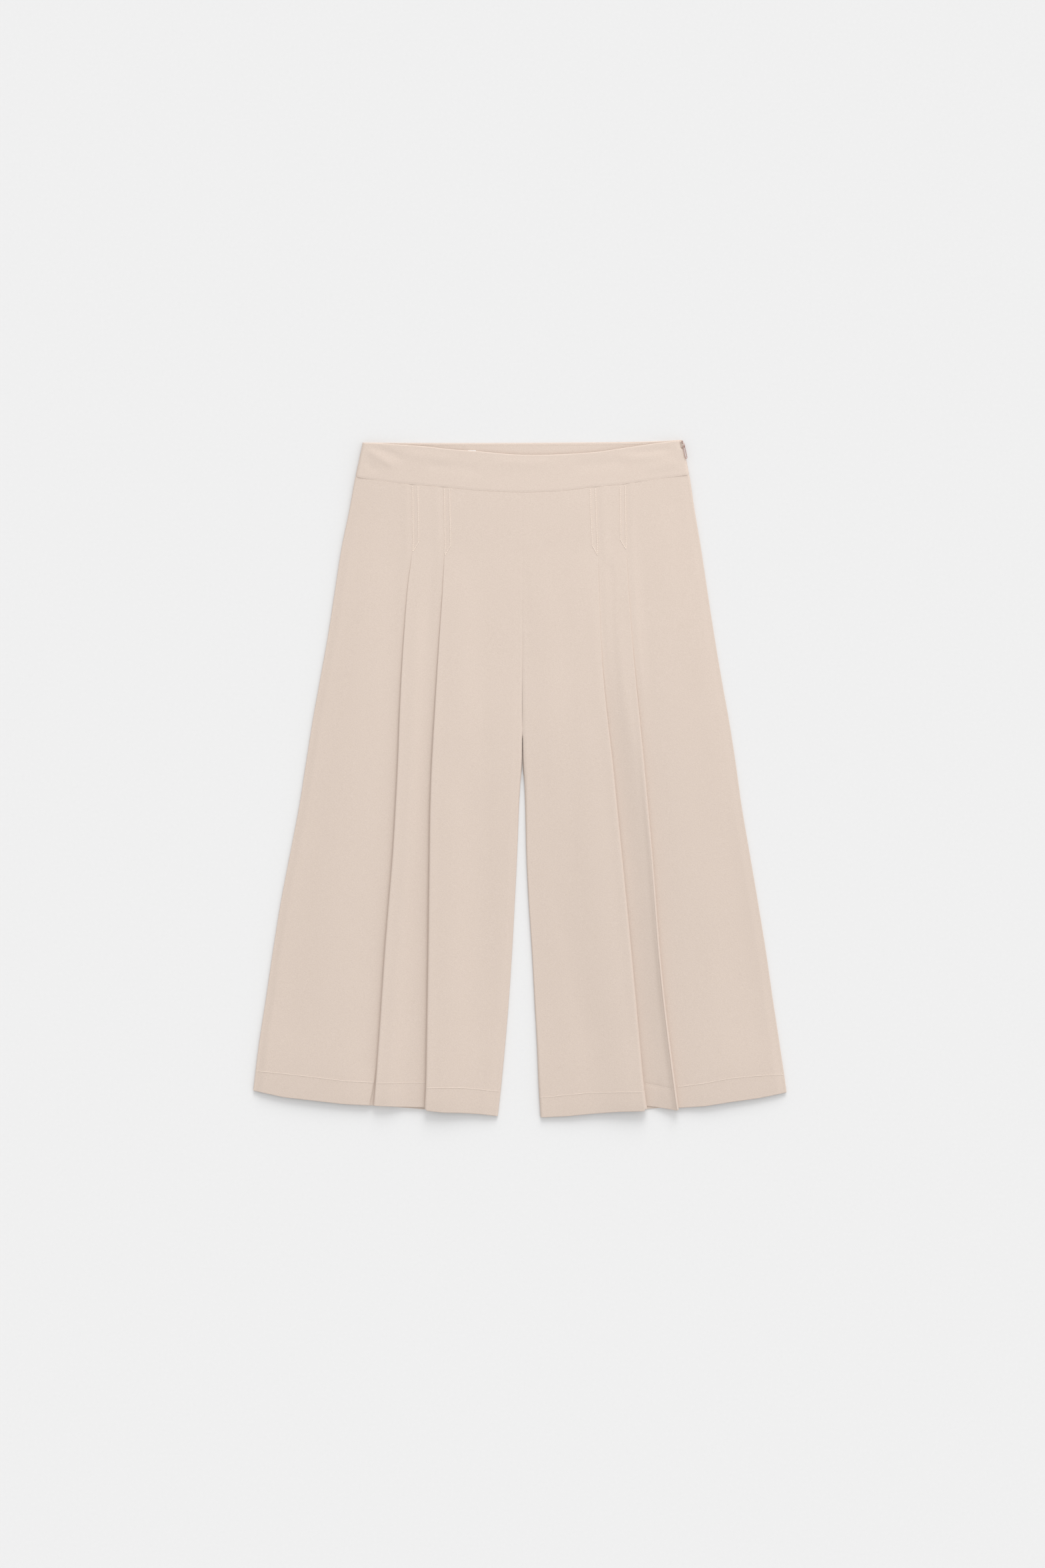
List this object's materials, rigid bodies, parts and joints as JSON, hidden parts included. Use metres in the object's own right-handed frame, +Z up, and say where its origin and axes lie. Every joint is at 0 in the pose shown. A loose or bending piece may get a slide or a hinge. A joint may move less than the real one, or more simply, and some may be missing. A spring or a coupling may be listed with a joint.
{
  "type": "tailored bermuda shorts, laid flat",
  "caption": "Knee-length tailored shorts laid flat, with a plain waistband, knife pleats stitched down at the top of each leg, turned-up hems and a side zip.",
  "frame": {"origin": "middle of the footprint of the garment, on the surface that it lies on", "axes": "+Z up, out of the garment's front; +Y from the hems to the waist; +X to the wearer's left, where the zip is"},
  "size_m": [0.5599, 0.7113, 0.0084],
  "materials": {
    "crepe": "matt beige crepe with a fine even grain and a soft sheen",
    "label_cloth": "plain white woven label, bare",
    "zip_cloth": "woven tape dyed to match the cloth",
    "zip_metal": "rosy beige enamel over metal, slightly glossy"
  },
  "bodies": {
    "shorts": {"front_panel_right": "crepe", "front_panel_left": "crepe", "back_panel_right": "crepe", "back_panel_left": "crepe", "waistband_front": "crepe", "waistband_back": "crepe", "label": "label_cloth", "zip_tape": "zip_cloth", "zip_slider": "zip_metal"},
    "pull": {"zip_pull": "zip_metal"}
  },
  "joints": [
    {"name": "pull_hinge", "type": "hinge", "parent": "shorts", "child": "pull", "pos_m": [0.17194, 0.34913, 0.00506], "axis": [-0.562, -0.1144, 0.8192], "range_deg": [0, 160]}
  ]
}
